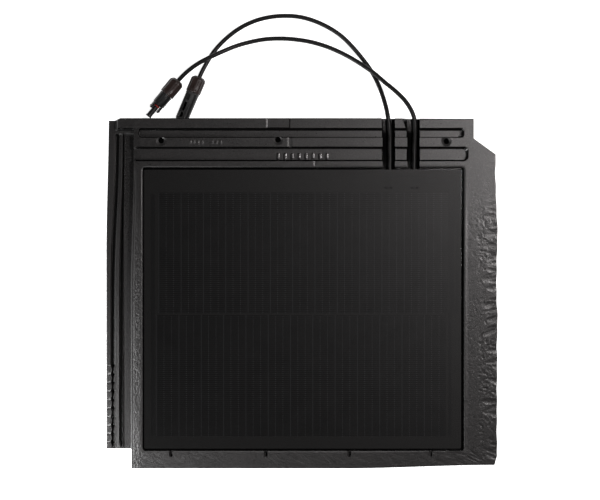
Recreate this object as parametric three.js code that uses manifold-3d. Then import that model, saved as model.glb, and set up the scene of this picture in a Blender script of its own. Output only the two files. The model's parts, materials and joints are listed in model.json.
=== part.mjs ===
// Solar roof tile: an interlocking flat clay tile with a glass photovoltaic module set in its face.
// Millimetres. +X to the right, +Y to the tile's head, +Z out of the weather face.
// The tile lies on its back; z = 0 is the surface under it, and X = Y = 0 is the middle of its outline.

import * as THREE from 'three';
import * as BufferGeometryUtils from 'three/addons/utils/BufferGeometryUtils.js';
import Module from 'manifold-3d';

const wasm = await Module();
wasm.setup();

// ---------------------------------------------------------------- driving dimensions

const TILE = {
  left: -260,
  bodyLeft: -226,
  right: 260,
  tail: -232.5,
  head: 232.5,
  face: 37,
  under: 18,
};

const RECESS = { left: -212.9, right: 216.2, tail: -210.8, head: 167.8, floor: 29, corner: 3.5 };
const MODULE = { left: -210.8, right: 212.3, tail: -207.9, head: 164.4, corner: 2 };

// How far a cutting shape runs past the face that it opens.
const CLEAR = 3;

// Heights of the laminate's layers, from the recess floor up.
const LAYERS = {
  backsheet: [30, 30.4],
  rearEncapsulant: [30.4, 30.9],
  cells: [30.9, 31.1],
  frontEncapsulant: [31.1, 31.6],
  glass: [31.6, 34.8],
};

const CELL = { count: 13, pitch: 29.8, gap: 0.5 };
const CELL_ROWS = [
  { name: 'upper', left: -191.8, tail: -27.3, head: 134 },
  { name: 'lower', left: -194.7, tail: -191.5, head: -29.7 },
];

const NAIL_BAND_TOP = 35.5;

// Levels across the head: bands stand up, channels lie between them. Each cuts the face down to z.
const HEAD_LEVELS = [
  { tail: 218, head: 240, left: -262, right: 262, z: 36 },
  { tail: 207.3, head: 218, left: -223, right: 215, z: 32 },
  { tail: 193.5, head: 207.3, left: -262, right: 257, z: NAIL_BAND_TOP },
  { tail: 176, head: 193.5, left: -223, right: 220.5, z: 32.5 },
  { tail: 167, head: 176, left: -262, right: 257, z: NAIL_BAND_TOP },
];

const FLANGE = {
  left: -260,
  right: -222,
  tail: -206.4,
  head: 229.3,
  base: 21,
  ribTop: 27.5,
  landTop: 24.5,
};
const FLANGE_OUTLINE = [
  [FLANGE.left, FLANGE.tail], [FLANGE.right, FLANGE.tail], [FLANGE.right, FLANGE.head],
  [-256.5, FLANGE.head], [-256.5, 190], [FLANGE.left, 150],
];
const FLANGE_RIBS = [[-259.5, -254.7], [-249.6, -243.7]];
const FLANGE_LAND = [-238.1, FLANGE.right];
const FLANGE_SILL = { left: -259.5, headStart: 214, tailEnd: -203.7 };
const SCALLOP = { count: 8, first: -102.7, pitch: -11.4, x: -254.7, radius: 2.4, floor: 22.5 };

const NAIL_HOLES = [[-188, 203.3], [-32, 204.3], [192.7, 202.4]];
const NAIL = { radius: 3.75, sinkRadius: 6.8, sinkDepth: 1.6 };

const DRAIN_NOTCH = { xs: [-175, -48.4, 62.7, 171.5], halfWidth: 2.7, length: 8, floor: 31.5 };

const NIB = { x: 120, width: 60, tail: 212, head: 226 };
const TAIL_LIP = { left: -222, right: 254, thickness: 14 };
const UNDERCUT = { left: 228, z: 28, tail: -212 };
const HOOK_RIB = { left: 231, right: 234.5, z: 23.5, tail: -200, head: 150 };
const STIFFENERS = { xs: [-180, -90, 0, 205], width: 8, z: 14, tail: -200, head: 150 };

const CABLE = { radius: 3, sides: 10, steps: 80 };
const GLAND = { z: 24.6, radius: 5.2, bore: 3.4, length: 12 };
const CHANNEL = { width: 16.7, floor: 21.4, headFloor: 24.4, rampStart: 211 };
const CHANNEL_LEFTS = [107.3, 140.3];

const BOX = { left: 102.75, right: 164.75, tail: 100, head: 146, wall: 2.5, top: 30, roof: 28, rim: 13.5 };
const POCKET = { left: 98, right: 169.5, tail: 95, head: 159.5, floor: 8 };
const BOSS = { margin: 4, z: 4 };
const GLAND_XS = [117.5, 150];

// The two cables, from inside their glands to inside their connectors. They lie in their channels, drop
// to the surface beyond the head, cross twice, and end in line with their connectors.
const LEFT_CABLE_ROUTE = [
  [117.5, 147, 24.6], [117.5, 161, 24.6], [117.5, 176, 24.6], [117.5, 192, 25], [117.4, 210, 26.2],
  [116.4, 224, 27.5], [114.8, 236, 27.2], [112.6, 248, 24.4], [109.2, 261, 19.4], [104.6, 275, 13],
  [98.6, 289, 7.1], [90.5, 303, 4], [76, 322, 3.2], [59.5, 340, 3.2], [43, 353, 3.2], [22, 364, 3.2],
  [0, 371, 3.2], [-21, 373, 3.2], [-43, 371.4, 3.2], [-65, 365.6, 3.2], [-86, 355, 3.2],
  [-105, 340, 3.4], [-118.5, 325, 4.5], [-126.5, 312.5, 6.2], [-132, 302.5, 7.9],
  [-135.8, 294.8, 9.1], [-138.1, 289.3, 9.6], [-143.2, 277.3, 9.75], [-148.2, 265.4, 9.75],
];
const RIGHT_CABLE_ROUTE = [
  [150, 147, 24.6], [150, 161, 24.6], [150, 176, 24.6], [150.3, 192, 25], [150.7, 210, 26.4],
  [151, 223, 27.9], [149.6, 235, 28.4], [144.6, 247, 27.4], [136, 259.5, 24.8], [124, 271.5, 20.6],
  [110.5, 283, 15.8], [97.5, 294.5, 12.6], [86, 303, 10], [75, 310.5, 7], [63.5, 317.5, 5],
  [50, 324.5, 3.8], [32, 332, 3.3], [11, 338, 3.2], [-11, 341.4, 3.2], [-32, 342.4, 3.2],
  [-53, 341, 3.3], [-74, 336.6, 4.3], [-90, 331.6, 6.3], [-105, 325.2, 9.4], [-118, 319.2, 11.6],
  [-129, 313.9, 12.3], [-139, 308.4, 11.9], [-148.5, 302, 11], [-156.6, 295.4, 10.1],
  [-162.7, 289.4, 9.8], [-166.8, 284.9, 9.75], [-175.2, 274.9, 9.75], [-183.5, 265, 9.75],
];

// Connectors: local +X runs from the cable to the mating end, and x = 0 is the back of the cap nut.
const CONNECTOR_Z = 9.75;
const PROBE_CONNECTOR = { x: -166.8, y: 284.9, heading: -130 };
const SHELL_CONNECTOR = { x: -138.1, y: 289.3, heading: -113 };
const SHELL_ROLL = 22;
const LATCH_ROLL = -25;
const NUT = { radius: 9.7, flute: 0.7, flutes: 12, backBore: 4.2, bore: 7.4, collar: 3 };
const PROBE_NUT_LENGTH = 24;
const SHELL_NUT_LENGTH = 22;

// ---------------------------------------------------------------- materials

function finish(color, roughness, metalness = 0) {
  return new THREE.MeshStandardMaterial({ color, roughness, metalness });
}

const MATERIALS = {
  clay: finish(0x3b3838, 0.75),
  glass: finish(0x1c1d20, 0.15),
  encapsulant: finish(0x22242a, 0.4),
  cell: finish(0x14161c, 0.35),
  backsheet: finish(0x151515, 0.6),
  ribbon: finish(0x9a9ea6, 0.35, 0.9),
  adhesive: finish(0x2a2a2a, 0.7),
  boxPlastic: finish(0x191919, 0.5),
  cableJacket: finish(0x1d1d1d, 0.5),
  nutPlastic: finish(0x2b1f1d, 0.5),
  housingPlastic: finish(0x202224, 0.45),
  seal: finish(0x141414, 0.8),
  redSeal: finish(0xa3241d, 0.5),
  contactMetal: finish(0xb9b9b4, 0.3, 1),
  diode: finish(0x111111, 0.4),
};

// ---------------------------------------------------------------- helpers

const group = new THREE.Group();

// Turns a closed three.js geometry into a solid, with the slivers at a lathe's poles left out.
function solid(geometry) {
  geometry.deleteAttribute('normal');
  geometry.deleteAttribute('uv');
  const merged = BufferGeometryUtils.mergeVertices(geometry, 1e-4);
  const index = merged.index.array;
  const triangles = [];
  for (let i = 0; i < index.length; i += 3) {
    const [a, b, c] = [index[i], index[i + 1], index[i + 2]];
    if (a !== b && b !== c && c !== a) triangles.push(a, b, c);
  }
  return new wasm.Manifold(new wasm.Mesh({
    numProp: 3,
    vertProperties: new Float32Array(merged.attributes.position.array),
    triVerts: new Uint32Array(triangles),
  }));
}

function toGeometry(body) {
  const { vertProperties, triVerts } = body.getMesh();
  const geometry = new THREE.BufferGeometry();
  geometry.setAttribute('position', new THREE.BufferAttribute(new Float32Array(vertProperties), 3));
  geometry.setIndex(new THREE.BufferAttribute(new Uint32Array(triVerts), 1));
  geometry.computeVertexNormals();
  return geometry;
}

function addPiece(name, body, material, parent = group) {
  const mesh = new THREE.Mesh(toGeometry(body), material);
  mesh.name = name;
  parent.add(mesh);
  return mesh;
}

function block([x0, x1], [y0, y1], [z0, z1]) {
  const geometry = new THREE.BoxGeometry(x1 - x0, y1 - y0, z1 - z0);
  geometry.translate((x0 + x1) / 2, (y0 + y1) / 2, (z0 + z1) / 2);
  return solid(geometry);
}

function outline(points) {
  return new THREE.Shape(points.map(([x, y]) => new THREE.Vector2(x, y)));
}

function roundedRectangle([x0, x1], [y0, y1], radius) {
  const shape = new THREE.Shape();
  shape.moveTo(x0 + radius, y0);
  shape.absarc(x1 - radius, y0 + radius, radius, -Math.PI / 2, 0, false);
  shape.absarc(x1 - radius, y1 - radius, radius, 0, Math.PI / 2, false);
  shape.absarc(x0 + radius, y1 - radius, radius, Math.PI / 2, Math.PI, false);
  shape.absarc(x0 + radius, y0 + radius, radius, Math.PI, 1.5 * Math.PI, false);
  return shape;
}

// A flat shape in plan, standing from z0 to z1.
function slab(shape, [z0, z1], curveSegments = 4) {
  const options = { depth: z1 - z0, bevelEnabled: false, curveSegments };
  const geometry = new THREE.ExtrudeGeometry(shape, options);
  geometry.translate(0, 0, z0);
  return solid(geometry);
}

// An outline in the YZ plane, running along X.
function barAlongX(points, [x0, x1]) {
  const geometry = new THREE.ExtrudeGeometry(outline(points), { depth: x1 - x0, bevelEnabled: false });
  geometry.rotateY(Math.PI / 2);
  geometry.rotateX(Math.PI / 2);
  geometry.translate(x0, 0, 0);
  return solid(geometry);
}

function post(x, y, radius, [z0, z1], sides = 16) {
  const geometry = new THREE.CylinderGeometry(radius, radius, z1 - z0, sides);
  geometry.rotateX(Math.PI / 2);
  geometry.translate(x, y, (z0 + z1) / 2);
  return solid(geometry);
}

// A profile of [distance along X, radius] turned about the X axis.
function turned(profile, sides = 24) {
  const points = profile.map(([along, radius]) => new THREE.Vector2(radius, along));
  const geometry = new THREE.LatheGeometry(points, sides);
  geometry.rotateZ(-Math.PI / 2);
  return solid(geometry);
}

// A ring or tube about the X axis, between two radii.
function ring([x0, x1], inner, outer, sides = 24) {
  return turned([[x0, inner], [x0, outer], [x1, outer], [x1, inner], [x0, inner]], sides);
}

function rod([x0, x1], radius, sides = 24) {
  return turned([[x0, 0], [x0, radius], [x1, radius], [x1, 0]], sides);
}

function union(bodies) {
  return bodies.reduce((sum, body) => sum.add(body));
}

function cut(body, tools) {
  return tools.reduce((rest, tool) => rest.subtract(tool), body);
}

// ---------------------------------------------------------------- clay tile

function tileOutline() {
  return outline([
    [TILE.bodyLeft, TILE.tail], [150, TILE.tail], [256, -229], [TILE.right, -211], [TILE.right, -150],
    [257, 183.3], [228, 204], [228, TILE.head], [-246.7, TILE.head], [-246.7, 214], [-223, 214],
    [-223, 0],
  ]);
}

function channelCut(left) {
  const below = POCKET.head;
  const high = TILE.face + CLEAR;
  const profile = [
    [below, high], [below, CHANNEL.floor], [CHANNEL.rampStart, CHANNEL.floor],
    [TILE.head + 1, CHANNEL.headFloor], [TILE.head + 1, high],
  ];
  return barAlongX(profile, [left, left + CHANNEL.width]);
}

function headCut({ tail, head, left, right, z }) {
  return block([left, right], [tail, head], [z, TILE.face + CLEAR]);
}

function flange() {
  const span = [FLANGE.tail, FLANGE.head];
  const sillSpan = [FLANGE_SILL.left, FLANGE.right];
  const shape = outline(FLANGE_OUTLINE);
  const plate = slab(shape, [TILE.under, FLANGE.base]);
  const raised = union([
    ...FLANGE_RIBS.map((x) => block(x, span, [FLANGE.base, FLANGE.ribTop])),
    block(FLANGE_LAND, span, [FLANGE.base, FLANGE.landTop]),
    block(sillSpan, [FLANGE_SILL.headStart, FLANGE.head], [FLANGE.base, FLANGE.ribTop]),
    block(sillSpan, [FLANGE.tail, FLANGE_SILL.tailEnd], [FLANGE.base, FLANGE.landTop]),
  ]);
  const trimmed = raised.intersect(slab(shape, [TILE.under, TILE.face]));
  const scallops = [];
  for (let i = 0; i < SCALLOP.count; i += 1) {
    const y = SCALLOP.first + i * SCALLOP.pitch;
    scallops.push(post(SCALLOP.x, y, SCALLOP.radius, [SCALLOP.floor, TILE.face], 8));
  }
  return cut(plate.add(trimmed), scallops);
}

// A block standing on the tile's underside, centred on x.
function underBlock(x, width, span, bottom) {
  return block([x - width / 2, x + width / 2], span, [bottom, TILE.under]);
}

function tileBody() {
  const body = slab(tileOutline(), [TILE.under, TILE.face]);
  const pocketBoss = block(
    [POCKET.left - BOSS.margin, POCKET.right + BOSS.margin],
    [POCKET.tail - BOSS.margin, POCKET.head + BOSS.margin],
    [BOSS.z, TILE.under],
  );
  const lip = block([TAIL_LIP.left, TAIL_LIP.right], [TILE.tail, TILE.tail + TAIL_LIP.thickness],
    [0, TILE.under]);
  const nibs = [-NIB.x, NIB.x].map((x) => underBlock(x, NIB.width, [NIB.tail, NIB.head], 0));
  const stiffeners = STIFFENERS.xs.map((x) => underBlock(x, STIFFENERS.width,
    [STIFFENERS.tail, STIFFENERS.head], STIFFENERS.z));
  const recess = slab(
    roundedRectangle([RECESS.left, RECESS.right], [RECESS.tail, RECESS.head], RECESS.corner),
    [RECESS.floor, TILE.face + CLEAR],
  );
  const notches = DRAIN_NOTCH.xs.map((x) => block(
    [x - DRAIN_NOTCH.halfWidth, x + DRAIN_NOTCH.halfWidth],
    [RECESS.tail - DRAIN_NOTCH.length, RECESS.tail + 1],
    [DRAIN_NOTCH.floor, TILE.face + CLEAR],
  ));
  const nailHoles = NAIL_HOLES.map(([x, y]) => post(x, y, NAIL.radius, [0, TILE.face]));
  const nailSinks = NAIL_HOLES.map(([x, y]) => post(x, y, NAIL.sinkRadius,
    [NAIL_BAND_TOP - NAIL.sinkDepth, TILE.face]));
  const pocket = block([POCKET.left, POCKET.right], [POCKET.tail, POCKET.head],
    [POCKET.floor, RECESS.floor + 1]);
  const undercut = block([UNDERCUT.left, TILE.right + CLEAR], [UNDERCUT.tail, TILE.head + CLEAR],
    [TILE.under - 1, UNDERCUT.z]);
  const hookRib = block([HOOK_RIB.left, HOOK_RIB.right], [HOOK_RIB.tail, HOOK_RIB.head],
    [HOOK_RIB.z, UNDERCUT.z]);
  const full = union([body, flange(), pocketBoss, lip, ...nibs, ...stiffeners]);
  const carved = cut(full, [
    ...HEAD_LEVELS.map(headCut), recess, ...notches, ...nailHoles, ...nailSinks, pocket, undercut,
    ...CHANNEL_LEFTS.map(channelCut),
  ]);
  return carved.add(hookRib);
}

addPiece('tile_body', tileBody(), MATERIALS.clay);

// ---------------------------------------------------------------- module laminate

const moduleShape = roundedRectangle([MODULE.left, MODULE.right], [MODULE.tail, MODULE.head],
  MODULE.corner);
const SLITS = { xs: [115, 150], halfWidth: 5, tail: 138.5, head: 141.5 };

// The slits that let the ribbons down through the sheets at heights z.
function slitCuts([z0, z1]) {
  return SLITS.xs.map((x) => block(
    [x - SLITS.halfWidth, x + SLITS.halfWidth],
    [SLITS.tail, SLITS.head],
    [z0 - 0.5, z1 + 0.5],
  ));
}

function laminateSheet(z) {
  return slab(moduleShape, z);
}

addPiece('front_glass', laminateSheet(LAYERS.glass), MATERIALS.glass);
addPiece('front_encapsulant', laminateSheet(LAYERS.frontEncapsulant), MATERIALS.encapsulant);
addPiece('rear_encapsulant',
  cut(laminateSheet(LAYERS.rearEncapsulant), slitCuts(LAYERS.rearEncapsulant)), MATERIALS.encapsulant);
addPiece('backsheet', cut(laminateSheet(LAYERS.backsheet), slitCuts(LAYERS.backsheet)),
  MATERIALS.backsheet);

for (const row of CELL_ROWS) {
  for (let i = 0; i < CELL.count; i += 1) {
    const left = row.left + i * CELL.pitch;
    const number = String(i + 1).padStart(2, '0');
    const strip = block([left, left + CELL.pitch - CELL.gap], [row.tail, row.head], LAYERS.cells);
    addPiece(`cell_${row.name}_${number}`, strip, MATERIALS.cell);
  }
}

// Flat ribbons beside the cells. The two end ribbons turn down through the slits to the terminals.
const STRING_LINK = { x: [-202, -196.5], y: [-190, 132] };
const POSITIVE_RUNS = [
  { x: [197, 203], y: [-22, 152] },
  { x: [148, 203], y: [147, 152] },
  { x: [148, 152], y: [139.9, 152] },
];
const NEGATIVE_RUNS = [
  { x: [195.6, 199.6], y: [-190, -24.5] },
  { x: [195.6, 209], y: [-27, -24.5] },
  { x: [205.5, 209], y: [-27, 158] },
  { x: [113, 209], y: [154.5, 158] },
  { x: [113, 117], y: [139.9, 158] },
];
const RIBBON_TAB = { y: [139.9, 140.1], bottom: 20, halfWidth: 2 };

function ribbonTab(x) {
  return block([x - RIBBON_TAB.halfWidth, x + RIBBON_TAB.halfWidth], RIBBON_TAB.y,
    [RIBBON_TAB.bottom, LAYERS.cells[1]]);
}

function ribbonRun({ x, y }) {
  return block(x, y, LAYERS.cells);
}

addPiece('string_link_ribbon', ribbonRun(STRING_LINK), MATERIALS.ribbon);
addPiece('positive_ribbon', union([...POSITIVE_RUNS.map(ribbonRun), ribbonTab(SLITS.xs[1])]),
  MATERIALS.ribbon);
addPiece('negative_ribbon', union([...NEGATIVE_RUNS.map(ribbonRun), ribbonTab(SLITS.xs[0])]),
  MATERIALS.ribbon);

const BEADS = { xs: [-150, -20, 190], width: 10, tail: -190, head: 150 };
BEADS.xs.forEach((x, i) => {
  const bead = block([x - BEADS.width / 2, x + BEADS.width / 2], [BEADS.tail, BEADS.head],
    [RECESS.floor, LAYERS.backsheet[0]]);
  addPiece(`adhesive_bead_${i + 1}`, bead, MATERIALS.adhesive);
});

// ---------------------------------------------------------------- junction box

const INSIDE = {
  x: [BOX.left + BOX.wall, BOX.right - BOX.wall],
  y: [BOX.tail + BOX.wall, BOX.head - BOX.wall],
};

function alongY(body, x, z) {
  return body.rotate([0, 0, 90]).translate([x, 0, z]);
}

function junctionBoxBase() {
  const shell = block([BOX.left, BOX.right], [BOX.tail, BOX.head], [BOX.rim, BOX.top]);
  const hollow = block(INSIDE.x, INSIDE.y, [BOX.rim - 1, BOX.roof]);
  const throughWall = [BOX.head - BOX.wall - 1, BOX.head + 1];
  const bores = GLAND_XS.map((x) => alongY(rod(throughWall, GLAND.bore, 16), x, GLAND.z));
  return cut(shell, [hollow, ...slitCuts([BOX.roof, BOX.top]), ...bores]);
}

function gland(x) {
  const start = BOX.head;
  const end = BOX.head + GLAND.length;
  const profile = [
    [start, GLAND.bore], [start, GLAND.radius], [end - 5, GLAND.radius], [end - 1, GLAND.radius - 0.9],
    [end, GLAND.radius - 1.2], [end, GLAND.bore], [start, GLAND.bore],
  ];
  return alongY(turned(profile, 16), x, GLAND.z);
}

const GASKET = { z: [12.7, 13.5], inset: 1.8 };
const LID = { z: [10.7, 12.7] };
const TERMINAL = { xs: [115, 150], halfWidth: 5, y: [112, 139.9], bottom: 22 };
const DIODE = { x: [120, 145], y: [116, 126], bottom: 23 };

function terminal(x) {
  return block([x - TERMINAL.halfWidth, x + TERMINAL.halfWidth], TERMINAL.y, [TERMINAL.bottom, BOX.roof]);
}

function lidGasket() {
  const outer = block([BOX.left, BOX.right], [BOX.tail, BOX.head], GASKET.z);
  const inner = block(
    [BOX.left + GASKET.inset, BOX.right - GASKET.inset],
    [BOX.tail + GASKET.inset, BOX.head - GASKET.inset],
    [GASKET.z[0] - 1, GASKET.z[1] + 1],
  );
  return outer.subtract(inner);
}

addPiece('junction_box_base', junctionBoxBase(), MATERIALS.boxPlastic);
addPiece('lid_gasket', lidGasket(), MATERIALS.seal);
addPiece('junction_box_lid', block([BOX.left, BOX.right], [BOX.tail, BOX.head], LID.z),
  MATERIALS.boxPlastic);
addPiece('terminal_left', terminal(TERMINAL.xs[0]), MATERIALS.contactMetal);
addPiece('terminal_right', terminal(TERMINAL.xs[1]), MATERIALS.contactMetal);
addPiece('bypass_diode', block(DIODE.x, DIODE.y, [DIODE.bottom, BOX.roof]), MATERIALS.diode);
addPiece('gland_left', gland(GLAND_XS[0]), MATERIALS.boxPlastic);
addPiece('gland_right', gland(GLAND_XS[1]), MATERIALS.boxPlastic);

// ---------------------------------------------------------------- cables

function cable(route) {
  const points = route.map(([x, y, z]) => new THREE.Vector3(x, y, z));
  const path = new THREE.CatmullRomCurve3(points, false, 'catmullrom', 0.5);
  const section = new THREE.Shape();
  section.absarc(0, 0, CABLE.radius, 0, 2 * Math.PI, false);
  return solid(new THREE.ExtrudeGeometry(section, {
    steps: CABLE.steps,
    curveSegments: CABLE.sides / 2,
    extrudePath: path,
  }));
}

addPiece('cable_left', cable(LEFT_CABLE_ROUTE), MATERIALS.cableJacket);
addPiece('cable_right', cable(RIGHT_CABLE_ROUTE), MATERIALS.cableJacket);

// ---------------------------------------------------------------- connectors

function connectorGroup({ x, y, heading }) {
  const place = new THREE.Group();
  place.position.set(x, y, CONNECTOR_Z);
  place.rotation.z = THREE.MathUtils.degToRad(heading);
  group.add(place);
  return place;
}

const probeConnector = connectorGroup(PROBE_CONNECTOR);
const shellConnector = connectorGroup(SHELL_CONNECTOR);

// A section in the YZ plane swept along X, between two stations.
function prism(shape, [x0, x1], curveSegments = 4) {
  const geometry = new THREE.ExtrudeGeometry(shape, { depth: x1 - x0, bevelEnabled: false, curveSegments });
  geometry.rotateY(Math.PI / 2);
  geometry.rotateX(Math.PI / 2);
  geometry.translate(x0, 0, 0);
  return solid(geometry);
}

function flutedSection() {
  const points = [];
  for (let i = 0; i < NUT.flutes; i += 1) {
    const middle = (i / NUT.flutes) * 2 * Math.PI;
    for (const [turn, radius] of [[-0.3, 0], [-0.18, NUT.flute], [0.18, NUT.flute], [0.3, 0]]) {
      const angle = middle + (turn / NUT.flutes) * 2 * Math.PI;
      const r = NUT.radius - radius;
      points.push([r * Math.cos(angle), r * Math.sin(angle)]);
    }
  }
  return outline(points);
}

function capNut(length) {
  const fluted = prism(flutedSection(), [0, length - NUT.collar]);
  const collar = rod([length - NUT.collar, length], NUT.radius);
  const envelope = turned([
    [0, 0], [0, 6.2], [2.2, 8.6], [4, NUT.radius], [length - 0.8, NUT.radius], [length, NUT.radius - 0.7],
    [length, 0],
  ], 36);
  const hollow = rod([-1, 5], NUT.backBore).add(rod([4, length + 1], NUT.bore));
  return fluted.add(collar).intersect(envelope).subtract(hollow);
}

// Eight fingers on a ring, which the cap nut presses on to the cable's seal.
const BASKET = { x: [4.6, 14], inner: 3.5, outer: 5.8, slotEnd: 11, halfSlot: 0.5 };
const GLAND_SEAL = { x: [14.4, 21], inner: 3.35, outer: 5.8 };

function clampBasket() {
  const sleeve = ring(BASKET.x, BASKET.inner, BASKET.outer, 32);
  const slots = [];
  for (let i = 0; i < 4; i += 1) {
    const slot = block([BASKET.x[0] - 1, BASKET.slotEnd], [-BASKET.halfSlot, BASKET.halfSlot],
      [-BASKET.outer - 1, BASKET.outer + 1]);
    slots.push(slot.rotate([i * 45, 0, 0]));
  }
  return cut(sleeve, slots);
}

function glandSeal() {
  return ring(GLAND_SEAL.x, GLAND_SEAL.inner, GLAND_SEAL.outer);
}

// The threaded rear sleeve that the cap nut turns on, with the seal's seat inside.
const SLEEVE = { start: 9.5, radius: 7, bore: 6.2, seat: 21.4, cableBore: 3.5 };
const CONTACT = { seat: 26.2, start: 26.4, crimp: 2.3, bore: 2.7 };

function rearBore(bulkheadEnd) {
  return turned([
    [SLEEVE.start - 1, 0], [SLEEVE.start - 1, SLEEVE.bore], [SLEEVE.seat, SLEEVE.bore],
    [SLEEVE.seat, SLEEVE.cableBore], [CONTACT.seat, SLEEVE.cableBore],
    [CONTACT.seat, CONTACT.bore], [bulkheadEnd, CONTACT.bore],
    [bulkheadEnd, 0],
  ]);
}

const PROBE = { bodyEnd: 42.5, radius: 3.3, lip: 3.8, tip: 62.7, bore: 2.3 };
const ARM = { root: 34.5, end: 50.5, inner: 5.6, outer: 7.6, halfHeight: 2.8, gap: 0.35 };

function probeHousing() {
  const sleeve = rod([SLEEVE.start, PROBE_NUT_LENGTH + 1], SLEEVE.radius);
  const body = turned([
    [PROBE_NUT_LENGTH + 0.4, 0], [PROBE_NUT_LENGTH + 0.4, 8.4], [26, 8.4], [26.4, 8],
    [41, 7.7], [PROBE.bodyEnd, 6.8], [PROBE.bodyEnd, 0],
  ], 32);
  const probe = turned([
    [PROBE.bodyEnd - 1, 0], [PROBE.bodyEnd - 1, PROBE.radius], [60.5, PROBE.radius], [61, PROBE.lip],
    [PROBE.tip, PROBE.lip - 0.2], [PROBE.tip, 0],
  ]);
  const bore = rearBore(42);
  const probeBore = rod([41, PROBE.tip + 1], PROBE.bore);
  const armSeats = [-1, 1].map((side) => {
    const span = [ARM.inner - ARM.gap - 0.6, 10].map((y) => y * side).sort((a, b) => a - b);
    const height = ARM.halfHeight + ARM.gap;
    const seat = block([ARM.root - ARM.gap, PROBE.bodyEnd + 1], span, [-height, height]);
    return seat.rotate([LATCH_ROLL, 0, 0]);
  });
  return cut(union([sleeve, body, probe]), [bore, probeBore, ...armSeats]);
}

function latchArm(side) {
  const plan = outline([
    [ARM.root, ARM.inner], [ARM.end, ARM.inner - 0.4], [ARM.end, ARM.inner + 0.8],
    [ARM.end - 2.6, ARM.outer + 0.3], [ARM.end - 3, ARM.outer - 0.7], [PROBE.bodyEnd - 1, ARM.outer - 0.6],
    [PROBE.bodyEnd - 2, ARM.outer], [ARM.root, ARM.outer],
  ].map(([x, y]) => [x, y * side]));
  return slab(plan, [-ARM.halfHeight, ARM.halfHeight]).rotate([LATCH_ROLL, 0, 0]);
}

const O_RING = { x: [43.4, 45.4], inner: 3.65, outer: 4.4 };
const SOCKET = { start: 41.5, end: 60, radius: 1.9, bore: 1.2, boreEnd: 46 };

function probeContact() {
  return turned([
    [CONTACT.start, 0], [CONTACT.start, CONTACT.crimp], [SOCKET.start, CONTACT.crimp],
    [SOCKET.start, SOCKET.radius], [SOCKET.end, SOCKET.radius], [SOCKET.end, SOCKET.bore],
    [SOCKET.boreEnd, SOCKET.bore], [SOCKET.boreEnd, 0],
  ], 16);
}

const SHELL = { end: 62.5, cavity: 36, bore: 6.1, halfWidth: 8.3, halfHeight: 7.5, corner: 4.5 };
const PIN = { start: 38, radius: 2, end: 54 };

// The shell's windows before it is rolled: along X, half as wide as given, and from z0 to z1.
const WINDOWS = [
  { x: [26, 34], half: 2.3, z: [6.6, 12] },
  { x: [37.5, 49.5], half: 2.3, z: [3, 12] },
  { x: [52, 58.5], half: 3, z: [3, 12] },
  { x: [52, 58.5], half: 3, z: [-12, -3] },
];

function shellHousing() {
  const sleeve = rod([SLEEVE.start, SHELL_NUT_LENGTH + 1], SLEEVE.radius);
  const shell = prism(
    roundedRectangle([-SHELL.halfWidth, SHELL.halfWidth], [-SHELL.halfHeight, SHELL.halfHeight],
      SHELL.corner),
    [SHELL_NUT_LENGTH + 0.4, SHELL.end],
  );
  const envelope = turned([
    [0, 0], [0, 8.6], [24, 8.6], [24.4, 8], [61, 7.8], [SHELL.end, 7.2], [SHELL.end, 0],
  ], 32);
  const cavity = rod([SHELL.cavity, SHELL.end + 1], SHELL.bore);
  const windows = WINDOWS.map(({ x, half, z }) => block(x, [-half, half], z).rotate([SHELL_ROLL, 0, 0]));
  const outer = sleeve.add(shell).intersect(envelope);
  return cut(outer, [rearBore(37), cavity, ...windows]);
}

function shellContact() {
  return turned([
    [CONTACT.start, 0], [CONTACT.start, CONTACT.crimp], [PIN.start, CONTACT.crimp], [PIN.start, PIN.radius],
    [PIN.end - 1.5, PIN.radius], [PIN.end, 0.8], [PIN.end, 0],
  ], 16);
}

addPiece('probe_cap_nut', capNut(PROBE_NUT_LENGTH), MATERIALS.nutPlastic, probeConnector);
addPiece('probe_clamp_basket', clampBasket(), MATERIALS.housingPlastic, probeConnector);
addPiece('probe_gland_seal', glandSeal(), MATERIALS.seal, probeConnector);
addPiece('probe_housing', probeHousing(), MATERIALS.housingPlastic, probeConnector);
addPiece('probe_contact', probeContact(), MATERIALS.contactMetal, probeConnector);
addPiece('probe_o_ring', ring(O_RING.x, O_RING.inner, O_RING.outer), MATERIALS.redSeal, probeConnector);
addPiece('latch_arm_left', latchArm(1), MATERIALS.housingPlastic, probeConnector);
addPiece('latch_arm_right', latchArm(-1), MATERIALS.housingPlastic, probeConnector);

addPiece('shell_cap_nut', capNut(SHELL_NUT_LENGTH), MATERIALS.nutPlastic, shellConnector);
addPiece('shell_clamp_basket', clampBasket(), MATERIALS.housingPlastic, shellConnector);
addPiece('shell_gland_seal', glandSeal(), MATERIALS.seal, shellConnector);
addPiece('shell_housing', shellHousing(), MATERIALS.housingPlastic, shellConnector);
addPiece('shell_contact', shellContact(), MATERIALS.contactMetal, shellConnector);

export default group;
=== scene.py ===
"""Solar roof tile: a matt black clay tile with a glass module in its face and two connector leads.

The work is in millimetres, in the frame's own axes, and is turned to metres as each mesh is made.
+X is right, +Y is the tile's head, +Z is out of the weather face, and the tile lies on z = 0.
"""
import functools
import json
import math
import random

import bmesh
import bpy
import numpy as np
from mathutils import Matrix, Vector

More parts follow.
